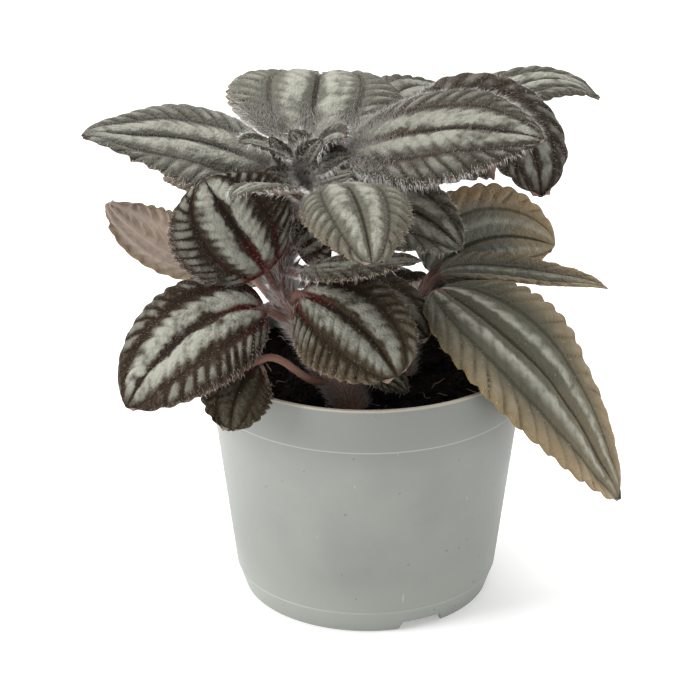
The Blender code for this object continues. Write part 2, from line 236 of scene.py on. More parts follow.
Leaf = namedtuple("Leaf", "name shoot height base mid tip width face fold curl teeth point")
LEAVES = (
    Leaf("leaf_top_left", "main_shoot", 121, (-26, -6, 126), (-49, -10, 135.5), (-74.4, -21, 140),
         33, (0, -4, 8), 5, 34, 12, 0.8),
    Leaf("leaf_top_back", "main_shoot", 123, (-16, 5, 129), (-14, 20, 141), (-13, 42, 139),
         52, (0, -5, 8), 12, 40, 12, 0.6),
    Leaf("leaf_top_right", "main_shoot", 124, (-5, -9, 132), (22, -22, 142), (46, -31, 142),
         34, (0, -6, 8), 10, 50, 12, 0.8),
    Leaf("leaf_top_broad", "main_shoot", 120, (5, 0, 123), (36, 7, 136), (48, 2, 115),
         37, (2, -6, 7), 5, 40, 12, 0.6),
    Leaf("leaf_top_far_right", "main_shoot", 113, (10, 13, 118), (41, 31, 137.5), (67, 40, 132),
         21, (0, -3, 9), 8, 40, 12, 0.8),
    Leaf("leaf_top_far_back", "main_shoot", 116, (-8, 14, 125), (10, 38, 134), (25, 56, 129),
         26, (0, -3, 9), 8, 40, 12, 0.8),
    Leaf("leaf_front_left", "main_shoot", 119, (-18, -20, 123), (-27, -34, 130), (-35, -45, 131),
         15, (-1, 1, 9), 10, 40, 9, 0.8),
    Leaf("leaf_front_droop", "main_shoot", 118, (-8, -19, 125), (-3, -40, 128), (1, -56, 117),
         32, (0, -3, 9), 5, 45, 12, 0.6),
    Leaf("leaf_right_fan", "main_shoot", 110, (-8, -12, 118), (9, -19, 120), (25, -25, 110),
         27, (2, -6, 6), 5, 40, 9, 0.6),
    Leaf("young_leaf_left", "main_shoot", 125, (-22, -7, 129), (-28, -12, 134), (-34, -17, 137),
         12, (1, -2, 9), 15, 25, 7, 0.8),
    Leaf("young_leaf_middle", "main_shoot", 126, (-13, -5, 130), (-9, -10, 135), (-6, -16, 138),
         12, (0, -6, 8), 15, 25, 7, 0.8),
    Leaf("leaf_middle_upright", "main_shoot", 96, (-27, -21, 102), (-36, -24.5, 117.5), (-43, -22.5, 128.5),
         38, (1.5, -9, 3), 8, 45, 12, 0.6),
    Leaf("leaf_lower_left", "main_shoot", 89, (-27, -26, 93), (-46, -35, 91), (-64, -41, 71),
         40, (-2, -6, 9), 8, 40, 12, 0.6),
    Leaf("leaf_lower_front", "main_shoot", 92, (-18, -27, 98), (-4, -37, 94), (8, -44, 81),
         35, (0, -7, 8), 5, 45, 12, 0.5),
    Leaf("leaf_middle_right", "main_shoot", 99, (-17, -25, 103), (-3, -30, 106), (14, -34, 110),
         20, (0, 0, 9), 10, 30, 9, 0.7),
    Leaf("leaf_lower_dark", "main_shoot", 86, (-9, -18, 92), (3, -19, 93), (17, -22, 83),
         28, (2, -5, 8), 5, 40, 10, 0.6),
    Leaf("leaf_middle_small", "main_shoot", 103, (-19, -15, 106), (-14, -15, 109), (-8, -16, 113),
         15, (1, -8, 4), 20, 20, 7, 0.7),
    Leaf("leaf_rim_round", "main_shoot", 74, (-29, -38, 83), (-34, -43, 77), (-36, -47, 67),
         20, (-1, -9, 4), 5, 30, 9, 0.5),
    Leaf("leaf_shade_small", "main_shoot", 71, (2, -23, 73), (6, -26, 73), (11, -29, 70),
         11, (0, -4, 8), 10, 20, 6, 0.7),
    Leaf("leaf_back_left", "main_shoot", 93, (-38, 2, 96), (-57, 8, 99), (-72, 10, 111),
         27, (0, 7, 4), 10, 20, 10, 0.7),
    Leaf("leaf_big_right", "right_shoot", 84, (19, -9, 92), (46, -24, 75), (72.7, -4, 26),
         37, (4, -6, 5), 8, 25, 14, 0.7),
    Leaf("leaf_right_folded", "right_shoot", 87, (20, 0, 93), (41, 5, 89.5), (68, 8, 86),
         17, (0, -2, 9), 30, 10, 10, 0.7),
    Leaf("leaf_right_upright", "right_shoot", 82, (18, 6, 91), (34, 16, 98), (54, 24, 93),
         34, (0, -8, 4), 10, 40, 12, 0.6),
    Leaf("leaf_back_right", "right_shoot", 77, (19, 14, 78), (31, 31, 78), (42, 48, 66),
         24, (1, 1, 9), 8, 40, 9, 0.7),
    Leaf("leaf_back_centre", "back_shoot", 93, (0, 33, 98), (6, 44, 101), (12, 55.5, 96),
         26, (0, 3, 9), 8, 40, 10, 0.7),
    Leaf("leaf_back_wide", "back_shoot", 90, (-12, 31, 94), (-29, 42, 98), (-46, 53, 89),
         31, (-2, 2, 9), 8, 40, 10, 0.7),
    Leaf("leaf_back_side", "back_shoot", 87, (3, 29, 90), (23, 39, 92), (43, 50, 82),
         28, (1, 2, 9), 8, 40, 10, 0.7),
    Leaf("leaf_back_low_left", "back_shoot", 76, (-14, 30, 78), (-28, 41, 78), (-41, 51, 66),
         24, (-2, 3, 9), 8, 40, 9, 0.7),
    Leaf("leaf_back_low_right", "back_shoot", 74, (-1, 31, 77), (8, 43, 78), (16, 55, 68),
         24, (1, 3, 9), 8, 40, 9, 0.7),
    Leaf("leaf_behind_left", "main_shoot", 106, (-27, 4, 112), (-42, 20, 118), (-55, 37, 109),
         33, (-1, 1, 9), 8, 40, 11, 0.7),
    Leaf("leaf_behind_top", "main_shoot", 109, (-14, 8, 116), (-12, 26, 121), (-11, 50, 112),
         33, (0, 1, 9), 8, 40, 11, 0.7),
)
# The smallest leaves, which crowd round the tip of the main shoot. The solids leave them out.
BUDS = (
    Leaf("bud_front", "main_shoot", 125, (-17, -7, 127), (-15, -9, 131), (-12, -10, 135.5),
         9, (0, -8, 5), 15, 35, 6, 0.7),
    Leaf("bud_left", "main_shoot", 125, (-20, -7, 127), (-23, -9, 131), (-26, -9, 136),
         7, (3, -6, 5), 15, 35, 6, 0.7),
    Leaf("bud_right", "main_shoot", 125, (-15, -8, 126), (-10, -10, 130), (-4, -13, 132),
         9, (0, -6, 7), 15, 35, 6, 0.7),
    Leaf("bud_behind", "main_shoot", 126, (-18, -3, 128), (-18, -4, 132), (-21, -4, 136),
         9, (0, -8, 4), 15, 35, 6, 0.7),
    Leaf("bud_low_right", "main_shoot", 122, (-14, -9, 123), (-9, -13, 126), (-3, -15, 128),
         8, (0, -6, 7), 15, 35, 6, 0.7),
    Leaf("bud_low_left", "main_shoot", 122, (-20, -9, 123), (-23, -13, 126), (-28, -15, 128),
         7, (0, -6, 7), 15, 35, 6, 0.7),
)
# How each leaf looks: its age, silver, hair, grey bloom and how dry its edges are. The rest look as usual.
Look = namedtuple("Look", "age silver hair bloom dry")
BUD_LOOK = Look(0.1, 0.8, 6.0, 0.3, 0.0)
USUAL_LOOK = Look(0.3, 0.6, 0.8, 0.18, 0.0)
LOOKS = {
    "leaf_top_left": Look(0.15, 1.0, 1.5, 0.65, 0.0),
    "leaf_top_back": Look(0.3, 1.0, 1.2, 0.6, 0.0),
    "leaf_top_right": Look(0.1, 0.75, 1.8, 0.24, 0.0),
    "leaf_top_broad": Look(0.1, 0.6, 1.2, 0.1, 0.0),
    "leaf_top_far_right": Look(0.2, 0.9, 0.3, 0.5, 0.0),
    "leaf_top_far_back": Look(0.2, 0.8, 0.3, 0.42, 0.0),
    "leaf_front_left": Look(0.3, 0.7, 2.0, 0.4, 0.0),
    "leaf_front_droop": Look(0.35, 0.8, 0.7, 0.45, 0.1),
    "leaf_right_fan": Look(0.3, 0.7, 1.2, 0.35, 0.0),
    "young_leaf_left": Look(0.0, 0.7, 3.0, 0.3, 0.0),
    "young_leaf_middle": Look(0.0, 0.7, 3.0, 0.3, 0.0),
    "leaf_middle_upright": Look(0.1, 0.95, 0.6, 0.05, 0.0),
    "leaf_lower_left": Look(0.15, 0.95, 0.7, 0.0, 0.0),
    "leaf_lower_front": Look(0.3, 0.75, 0.4, 0.0, 0.1),
    "leaf_middle_right": Look(0.3, 0.7, 1.6, 0.2, 0.0),
    "leaf_lower_dark": Look(0.3, 0.3, 0.6, 0.05, 0.0),
    "leaf_middle_small": Look(0.0, 0.4, 2.0, 0.0, 0.0),
    "leaf_rim_round": Look(0.35, 0.08, 0.2, 0.0, 0.0),
    "leaf_back_left": Look(0.8, 0.5, 0.3, 0.2, 0.4),
    "leaf_big_right": Look(0.9, 1.0, 0.15, 0.4, 0.8),
    "leaf_right_folded": Look(0.9, 1.0, 0.15, 1.0, 0.8),
    "leaf_right_upright": Look(1.0, 0.8, 0.15, 1.0, 1.5),
}
print(len(LEAVES), "leaves on", len(SHOOTS), "shoots")

# %% [markdown]
# A leaf of this plant is quilted: three sunken ribs run from base to tip, side veins join them, and the
# blade swells up between the veins. Each side vein ends in the notch between two round teeth.
# The blade is a grid of (u, v): u runs from base to tip, v from edge to edge. A formula lifts each point,
# so ribs, cushions and teeth line up by themselves, and the material reads the same u and v from the UVs.

# %% The form of a leaf
RIB_DEPTH = 0.9
CUSHION_DEPTH = 2.2
INNER_CUSHION = 0.28
TOOTH_DEPTH = 1.5
BLADE_THICK = 0.4
WAVE_DEPTH = 1.1
EDGE_FIRST = 0.03
EDGE_LAST = 0.98
ROWS_PER_TOOTH = 6
COLUMNS = 39
OUTER_SLANT = 1.6
INNER_SLANT = 1.8
FULL_WIDTH = 20  # narrower leaves have shallower teeth, ribs and cushions
TOOTH_ZONE = 0.7
DEEPEST_CUT = 0.35
VEIN_WANDER = ((0.13, 11, 1), (0.10, 23, 2))  # size, rate and share of the leaf's own seed
TIP_FADE = 0.10
BASE_FADE = 0.04


def unit(vectors):
    """The vectors at length 1."""
    return vectors / np.maximum(np.linalg.norm(vectors, axis=-1, keepdims=True), 1e-9)


def outline(leaf, u):
    """The half width of a leaf at share u of its length, as a share of its widest."""
    rise, fall = 0.5, leaf.point
    widest = rise / (rise + fall)
    return (u / widest) ** rise * ((1 - u) / (1 - widest)) ** fall


def midrib(leaf, u):
    """Points of the midrib at shares u, and its directions there."""
    base, mid, tip = (np.array(p, float) for p in (leaf.base, leaf.mid, leaf.tip))
    bend = 2 * mid - (base + tip) / 2
    place = (1 - u) ** 2 * base + 2 * u * (1 - u) * bend + u * u * tip
    along = 2 * (1 - u) * (bend - base) + 2 * u * (tip - bend)
    return place, unit(along)


def cushions(leaf, u, v):
    """0 on the side veins and 1 midway between them, with veins that wander a little."""
    s = np.abs(v)
    seed = sum(leaf.tip) + 2.0 * np.sign(v)
    wander = sum(size * np.sin(rate * u + share * seed) for size, rate, share in VEIN_WANDER)
    tooth = leaf.teeth * (u - EDGE_FIRST) / (EDGE_LAST - EDGE_FIRST)
    outer = tooth + OUTER_SLANT * (1 - s) / 0.5 + wander * np.clip((1 - s) / 0.4, 0, 1)
    inner = tooth + INNER_SLANT * (0.5 - s) / 0.5 + wander
    return np.abs(np.sin(np.pi * np.where(s > 0.5, outer, inner)))


def blade_points(leaf, u, v):
    """Points of the blade's upper face on a grid, u a column and v a row."""
    s = np.abs(v)
    place, along = midrib(leaf, u)
    face = np.array(leaf.face, float)
    up = unit(face - along * (along @ face)[:, None])
    side = np.cross(along, up)
    half = leaf.width / 2 * outline(leaf, u)
    small = min(1, leaf.width / FULL_WIDTH)
    tooth = np.clip(leaf.teeth * (u - EDGE_FIRST) / (EDGE_LAST - EDGE_FIRST), 0, leaf.teeth) % 1
    lobe = np.sin(np.pi * tooth ** 1.3) ** 0.5
    cut = np.minimum(DEEPEST_CUT, TOOTH_DEPTH * small / half) * (1 - lobe)
    a = s * (1 - cut * np.clip((s - TOOTH_ZONE) / (1 - TOOTH_ZONE), 0, 1))
    fold, curl = math.radians(leaf.fold), math.radians(leaf.curl)
    across = (np.sin(fold) - np.sin(fold - curl * a)) / curl * half
    lift = (np.cos(fold - curl * a) - math.cos(fold)) / curl * half
    ends = outline(leaf, u)
    ridge = RIB_DEPTH * small * np.abs(np.sin(2 * np.pi * s)) ** 0.8 * ends
    outer_zone = np.clip((s - 0.5) / 0.5, 0, 1)
    outer_rise = outer_zone ** 0.6 * (1 - 0.45 * outer_zone ** 4)
    inner_rise = INNER_CUSHION * np.sin(2 * np.pi * np.clip(s, 0, 0.5)) ** 0.6
    rise = np.where(s > 0.5, outer_rise, inner_rise)
    faded = ends ** 0.5 * np.clip((1 - u) / TIP_FADE, 0, 1) * np.clip(u / BASE_FADE, 0, 1)
    height = lift + ridge + CUSHION_DEPTH * small * cushions(leaf, u, v) ** 0.5 * rise * faded
    return place[:, None] + side[:, None] * (np.sign(v) * across)[..., None] + up[:, None] * height[..., None]


def grid_normals(points):
    """The upward normals of a grid of points."""
    return unit(np.cross(np.gradient(points, axis=1), np.gradient(points, axis=0)))


spans = {leaf.name: (Vector(leaf.tip) - Vector(leaf.base)).length for leaf in LEAVES}
widest_span = max(spans, key=spans.get)
print(widest_span, "spans", round(spans[widest_span]), "mm from base to tip")

# %% [markdown]
# A stalk leaves its shoot square on and bends over to the underside of the blade. The shoot is a smooth
# curve through its points, as in the solids, so the stalk can start just inside it.

# %% Shoots and stalks
def shoot_line(shoot, steps=60):
    """Points and radii along a shoot, on a Catmull-Rom curve through its design points."""
    places, radii = [], []
    spans = len(shoot.points) - 1
    for k in range(steps + 1):
        at = min(k / steps * spans, spans - 1e-9)
        i = int(at)
        t = at - i
        a, b, c, d = (Vector(shoot.points[j]) for j in (max(i - 1, 0), i, i + 1, min(i + 2, spans)))
        square, cube = 2 * a - 5 * b + 4 * c - d, 3 * b - a - 3 * c + d
        places.append(0.5 * (2 * b + (c - a) * t + square * t * t + cube * t ** 3))
        radii.append(shoot.radii[i] + (shoot.radii[i + 1] - shoot.radii[i]) * t)
    return places, radii


def direction(path, i):
    """The direction of a path at its point i."""
    return (path[min(i + 1, len(path) - 1)] - path[max(i - 1, 0)]).normalized()


SHOOT_LINES = {shoot.name: shoot_line(shoot) for shoot in SHOOTS}
STALK_RADIUS = 1.1
STALK_STEPS = 14


def stalk_path(leaf):
    """Points from inside the shoot to under the blade, and radii."""
    places, radii = SHOOT_LINES[leaf.shoot]
    nearest = min(range(len(places)), key=lambda i: abs(places[i].z - leaf.height))
    centre, radius = places[nearest], radii[nearest]
    axis = direction(places, nearest)
    out = Vector(leaf.base) - centre
    out = (out - axis * out.dot(axis)).normalized()
    start = centre + out * radius * 0.5
    joins, ways = midrib(leaf, np.array([[0.03], [0.12]]))
    along = Vector(ways[0])
    under = Vector(leaf.face).normalized() * -0.3
    join, last = Vector(joins[0]) + under, Vector(joins[1]) + under
    reach = (join - start).length * 0.4
    b, c = start + out * reach, join - along * reach
    path = []
    for k in range(STALK_STEPS + 1):
        t = k / STALK_STEPS
        path.append(start * (1 - t) ** 3 + b * 3 * t * (1 - t) ** 2 + c * 3 * t * t * (1 - t) + join * t ** 3)
    wide = STALK_RADIUS * min(1.0, 0.5 + leaf.width / 50)
    widths = [wide * (1.0 + 0.5 * (1 - min(1, k / 3))) for k in range(STALK_STEPS + 1)]
    return path + [last], widths + [wide * 0.4]


def tube_grid(path, radii, sides):
    """Rings of points round a path."""
    rings = []
    side = None
    for i, here in enumerate(path):
        along = direction(path, i)
        side = side or along.orthogonal().normalized()
        side = (side - along * side.dot(along)).normalized()
        other = along.cross(side)
        turns = [math.tau * k / sides for k in range(sides)]
        rings.append([here + radii[i] * (side * math.cos(t) + other * math.sin(t)) for t in turns])
    return rings


for name, (places, _) in SHOOT_LINES.items():
    print(name, round(sum((b - a).length for a, b in zip(places, places[1:]))), "mm long")

# %% [markdown]
# Meshes from grids. Points, faces, UVs and the values that the hairs and the materials need are gathered
# in a small builder, then written to one mesh. Points are given in millimetres.

# %% Mesh builder
POINT_VALUES = ("age", "silver", "bloom", "dry", "swell", "hairy")


class Builder:
    """Gathers points, faces, UVs, attributes and material numbers for one mesh."""

    def __init__(self):
        self.points, self.faces, self.slots, self.uvs = [], [], [], []
        self.values = {key: [] for key in POINT_VALUES}
        self.ways = []

    def add_points(self, points, uvs, ways, **values):
        """Adds points and returns the number of the first."""
        first = len(self.points)
        count = len(points)
        self.points += [tuple(p) for p in points]
        self.uvs += [tuple(uv) for uv in uvs]
        self.ways += [tuple(w) for w in ways]
        for key, line in self.values.items():
            value = values.get(key, 0.0)
            line += list(value) if np.ndim(value) else [float(value)] * count
        return first

    def add_faces(self, faces, slot):
        """Adds faces with a material number."""
        self.faces += faces
        self.slots += [slot] * len(faces)

    def finish(self, name, materials):
        """The object."""
        mesh = bpy.data.meshes.new(name)
        mesh.from_pydata([(x * MM, y * MM, z * MM) for x, y, z in self.points], [], self.faces)
        for made in materials:
            mesh.materials.append(made)
        mesh.polygons.foreach_set("material_index", self.slots)
        corners = np.empty(len(mesh.loops), np.int32)
        mesh.loops.foreach_get("vertex_index", corners)
        uv = mesh.uv_layers.new(name="leaf_map")
        uv.data.foreach_set("uv", np.array(self.uvs, np.float32)[corners].ravel())
        for key, line in self.values.items():
            mesh.attributes.new(key, "FLOAT", "POINT").data.foreach_set("value", np.array(line, np.float32))
        ways = mesh.attributes.new("hair_way", "FLOAT_VECTOR", "POINT")
        ways.data.foreach_set("vector", np.array(self.ways, np.float32).ravel())
        mesh.shade_smooth()
        mesh.update()
        return put(name, mesh)


def add_tube(builder, path, radii, sides, slot, hairy, **values):
    """Adds a round tube with closed ends. Its hairs lean along it."""
    rings = tube_grid(path, radii, sides)
    points, uvs, ways = [], [], []
    for i, ring in enumerate(rings):
        along = direction(path, i)
        for k, point in enumerate(ring):
            points.append(point)
            uvs.append((i / len(rings), k / sides))
            ways.append((point - path[i]).normalized() + along * 1.2)
    first = builder.add_points(points, uvs, ways, hairy=hairy, **values)
    faces = []
    for i in range(len(rings) - 1):
        for k in range(sides):
            a, b = first + i * sides + k, first + i * sides + (k + 1) % sides
            faces.append((a, b, b + sides, a + sides))
    last = first + (len(rings) - 1) * sides
    faces.append(tuple(range(first, first + sides))[::-1])
    faces.append(tuple(range(last, last + sides)))
    builder.add_faces(faces, slot)


print("values kept for each point:", ", ".join(POINT_VALUES))

# %% [markdown]
# The colour of a blade. Its ground is dark bronze. Silver lies in two bands, one on each side of the
# midrib, broken by the side veins, and in a spot on each cushion near the edge. The ribs are dark, and
# wine red where they meet at the base. Old leaves fade to olive with a yellow-brown rim.
# Everything reads u and v from the UV map, so the pattern lies on the quilting.

# %% Leaf materials
BRONZE = (0.021, 0.0110, 0.0070)
OLIVE = (0.060, 0.055, 0.030)
BLOOM = (0.165, 0.170, 0.142)
SILVER = (0.305, 0.307, 0.258)
SILVER_OLD = (0.350, 0.352, 0.295)
DRY = (0.305, 0.232, 0.138)
WINE = (0.070, 0.006, 0.006)
RIM_YOUNG = (0.085, 0.050, 0.040)
RIM_OLD = (0.215, 0.165, 0.070)
UNDERSIDE = (0.160, 0.055, 0.045)
UNDERSIDE_OLD = (0.205, 0.168, 0.118)
FLECK = (0.14, 0.10, 0.075)
VEIN_AND_GROOVE_SHADE_YOUNG = (0.010, 0.006, 0.005)
VEIN_AND_GROOVE_SHADE_OLD = (0.040, 0.036, 0.020)
RIB_YOUNG = (0.014, 0.006, 0.006)
RIB_OLD = (0.045, 0.042, 0.025)
UNDER_CLOUD = (0.15, 0.105, 0.085)
UNDER_FLECK = (0.32, 0.275, 0.225)
UNDER_VEIN = (0.085, 0.035, 0.025)
UNDER_VEIN_OLD = (0.095, 0.068, 0.040)
STALK_DARK = (0.16, 0.050, 0.038)
STALK_PALE = (0.50, 0.24, 0.17)
STALK_SPOT = (0.30, 0.22, 0.13)
STALK_WINE = (0.075, 0.020, 0.017)
WINE_FROM, WINE_FULL = 0.078, 0.104
HAIR_DULL = (0.48, 0.46, 0.43)
HAIR_BRIGHT = (0.74, 0.73, 0.70)


def both(tree, first, second):
    """The product of two masks."""
    return maths(tree, "MULTIPLY", first, second)


def shifted(tree, value, noise_value, amount):
    """A value moved to and fro by a noise about 0.5."""
    return maths(tree, "MULTIPLY_ADD", maths(tree, "SUBTRACT", noise_value, 0.5), amount, value)


def blade_coordinates(tree):
    """u along the leaf, and the share from midrib to edge."""
    uv = add(tree, "ShaderNodeUVMap", uv_map="leaf_map").outputs[0]
    parts = add(tree, "ShaderNodeSeparateXYZ", {0: uv})
    across = maths(tree, "ABSOLUTE", maths(tree, "MULTIPLY_ADD", parts.outputs[1], 2.0, -1.0))
    return parts.outputs[0], across


def leaf_top_material():
    """The upper side of a leaf."""
    made, tree, shader = new_material("leaf_top", 0.6)
    u, across = blade_coordinates(tree)
    age, swell = attribute(tree, "age"), attribute(tree, "swell")
    fine = speckle(tree, 700.0, 8.0)
    patch = speckle(tree, 150.0)
    blurred = maths(tree, "MULTIPLY_ADD", age, -0.7, 1.0)
    s = shifted(tree, across, patch, both(tree, blurred, 0.34))
    s = shifted(tree, s, fine, both(tree, blurred, 0.12))
    starts = maths(tree, "MULTIPLY_ADD", age, 0.14, 0.03)
    inner_edge = ramp(tree, maths(tree, "SUBTRACT", s, starts), 0.0, 0.08)
    outer_edge = ramp(tree, maths(tree, "MULTIPLY_ADD", both(tree, swell, blurred), -0.10, s), 0.38, 0.22)
    band = both(tree, both(tree, inner_edge, outer_edge), ramp(tree, u, 1.0, 0.88))
    cloud = speckle(tree, 320.0, 5.0)
    band = both(tree, band, ramp(tree, shifted(tree, cloud, patch, 0.9), 0.12, 0.60))
    spots = both(tree, ramp(tree, s, 0.58, 0.68), ramp(tree, s, 0.97, 0.80))
    spots = both(tree, spots, ramp(tree, swell, 0.45, 0.95))
    spots = both(tree, spots, both(tree, ramp(tree, patch, 0.38, 0.60), blurred))
    marks = both(tree, maths(tree, "MAXIMUM", band, both(tree, spots, 0.6)), attribute(tree, "silver"))
    ground = blend(tree, age, BRONZE, OLIVE)
    ground = blend(tree, attribute(tree, "bloom"), ground, BLOOM)
    ground = blend(tree, both(tree, ramp(tree, fine, 0.5, 0.75), 0.4), ground, FLECK)
    to_tip = both(tree, ramp(tree, u, 0.4, 0.95), 0.5)
    parched = maths(tree, "MULTIPLY_ADD", ramp(tree, across, 0.45, 0.85), 0.8, to_tip)
    parched = both(tree, shifted(tree, parched, patch, 0.6), attribute(tree, "dry"))
    parched = both(tree, parched, ramp(tree, u, 0.0, 0.5))
    ground = blend(tree, parched, ground, DRY)
    colour = blend(tree, marks, ground, blend(tree, age, SILVER, SILVER_OLD))
    lively = maths(tree, "MULTIPLY_ADD", age, -0.55, 1.0)
    # Dark side veins, darkest towards the edge: partly their own colour, partly painted shade in the grooves
    # between the cushions.
    vein = maths(tree, "MULTIPLY_ADD", ramp(tree, s, 0.38, 0.55), 0.70, 0.20)
    vein = both(tree, both(tree, ramp(tree, swell, 0.5, 0.0), vein), lively)
    colour = blend(tree, vein, colour, blend(tree, age, VEIN_AND_GROOVE_SHADE_YOUNG, VEIN_AND_GROOVE_SHADE_OLD))
    rim = both(tree, ramp(tree, across, 0.92, 1.0), 0.8)
    colour = blend(tree, rim, colour, blend(tree, age, RIM_YOUNG, RIM_OLD))
    side_rib = ramp(tree, maths(tree, "ABSOLUTE", maths(tree, "SUBTRACT", across, 0.5)), 0.05, 0.01)
    ribs = maths(tree, "MAXIMUM", ramp(tree, across, 0.05, 0.015), both(tree, side_rib, 0.7))
    colour = blend(tree, both(tree, ribs, 0.85), colour, blend(tree, age, RIB_YOUNG, RIB_OLD))
    heart = maths(tree, "MAXIMUM", ramp(tree, across, 0.13, 0.03), both(tree, side_rib, 0.8))
    heart = maths(tree, "MAXIMUM", heart, ramp(tree, u, 0.10, 0.03))
    young = maths(tree, "MULTIPLY_ADD", age, -0.95, 1.0)
    young = both(tree, young, ramp(tree, attribute(tree, "bloom"), 0.45, 0.05))
    colour = blend(tree, both(tree, both(tree, heart, ramp(tree, u, 0.40, 0.08)), young), colour, WINE)
    pores = add(tree, "ShaderNodeTexVoronoi", {"Vector": add(tree, "ShaderNodeTexCoord").outputs["Object"],
                                               "Scale": 1400.0}).outputs["Distance"]
    finish_material(tree, shader, colour, maths(tree, "MULTIPLY_ADD", pores, -0.5, fine), 0.0005)
    shader.inputs["Sheen Weight"].default_value = 0.03
    shader.inputs["Specular IOR Level"].default_value = 0.045
    return made


def leaf_under_material():
    """The underside of a leaf: dull pink-brown, with its veins raised and redder."""
    made, tree, shader = new_material("leaf_under", 0.7)
    _, across = blade_coordinates(tree)
    age = attribute(tree, "age")
    colour = blend(tree, age, UNDERSIDE, UNDERSIDE_OLD)
    colour = blend(tree, ramp(tree, speckle(tree, 60.0), 0.35, 0.65), colour, UNDER_CLOUD)
    colour = blend(tree, both(tree, speckle(tree, 420.0, 6.0), 0.5), colour, UNDER_FLECK)
    vein = both(tree, ramp(tree, attribute(tree, "swell"), 0.3, 0.0), 0.75)
    colour = blend(tree, vein, colour, blend(tree, age, UNDER_VEIN, UNDER_VEIN_OLD))
    rim = both(tree, ramp(tree, across, 0.82, 1.0), 0.7)
    colour = blend(tree, rim, colour, blend(tree, age, RIM_YOUNG, RIM_OLD))
    finish_material(tree, shader, colour, speckle(tree, 700.0, 6.0), 0.0003)
    shader.inputs["Specular IOR Level"].default_value = 0.3
    return made


def stalk_material():
    """Stems and leaf stalks: fleshy, pink-brown, with fine lengthwise streaks."""
    made, tree, shader = new_material("stem_skin", 0.45)
    uv = add(tree, "ShaderNodeUVMap", uv_map="leaf_map").outputs[0]
    stretch = add(tree, "ShaderNodeMapping", {"Vector": uv, "Scale": (3.0, 40.0, 1.0)}).outputs[0]
    streak = speckle(tree, 3.0, 4.0, stretch)
    colour = blend(tree, streak, STALK_DARK, STALK_PALE)
    colour = blend(tree, both(tree, speckle(tree, 260.0), 0.5), colour, STALK_SPOT)
    place = add(tree, "ShaderNodeTexCoord").outputs["Object"]
    young = ramp(tree, add(tree, "ShaderNodeSeparateXYZ", {0: place}).outputs[2], WINE_FROM, WINE_FULL)
    colour = blend(tree, both(tree, young, 0.85), colour, STALK_WINE)
    finish_material(tree, shader, colour, streak, 0.0003)
    return made


def hair_material():
    """Fine hairs: clear and white, a little shiny."""
    made, tree, shader = new_material("plant_hair", 0.35)
    colour = blend(tree, speckle(tree, 200.0), HAIR_DULL, HAIR_BRIGHT)
    finish_material(tree, shader, colour)
    return made


LEAF_TOP = leaf_top_material()
LEAF_UNDER = leaf_under_material()
STEM_SKIN = stalk_material()
PLANT_HAIR = hair_material()
print("materials:", ", ".join(m.name for m in (LEAF_TOP, LEAF_UNDER, STEM_SKIN, PLANT_HAIR)))

# %% [markdown]
# Now the leaves. The grid's upper and lower faces share their rows and columns, and a narrow strip closes
# the edge all round, so each leaf is one closed skin. Hairs lean towards the tip, and towards the outside
# near the edge, where they make the pale fringe that the photograph shows.

# %% Leaves
BLADE_FIRST = 0.008
BLADE_LAST = 0.999
WAVE_SCALE = 0.07
WAVE_PLACE = Vector((7, 3, 5))
EDGE_THINNING = 0.6
STALK_SIDES = 12
TOP_SLOT, UNDER_SLOT, STALK_SLOT = 0, 1, 2
# How dense the hairs are on each part of a leaf. The fringe runs round its edge.
FACE_HAIR, FRINGE_HAIR, RIB_HAIR, UNDER_HAIR, STALK_HAIR = 0.25, 1.9, 0.4, 0.12, 2.0
HEART_REACH = 0.35
# Hair near the base of the blade, where the leaves crowd together.
HEART_HAIR = {
    "leaf_top_left": 3.0, "leaf_top_back": 5.5, "leaf_top_right": 3.0, "leaf_front_left": 1.5,
    "young_leaf_left": 1.0, "young_leaf_middle": 1.0, "leaf_top_broad": 3.0, "leaf_front_droop": 2.0,
}


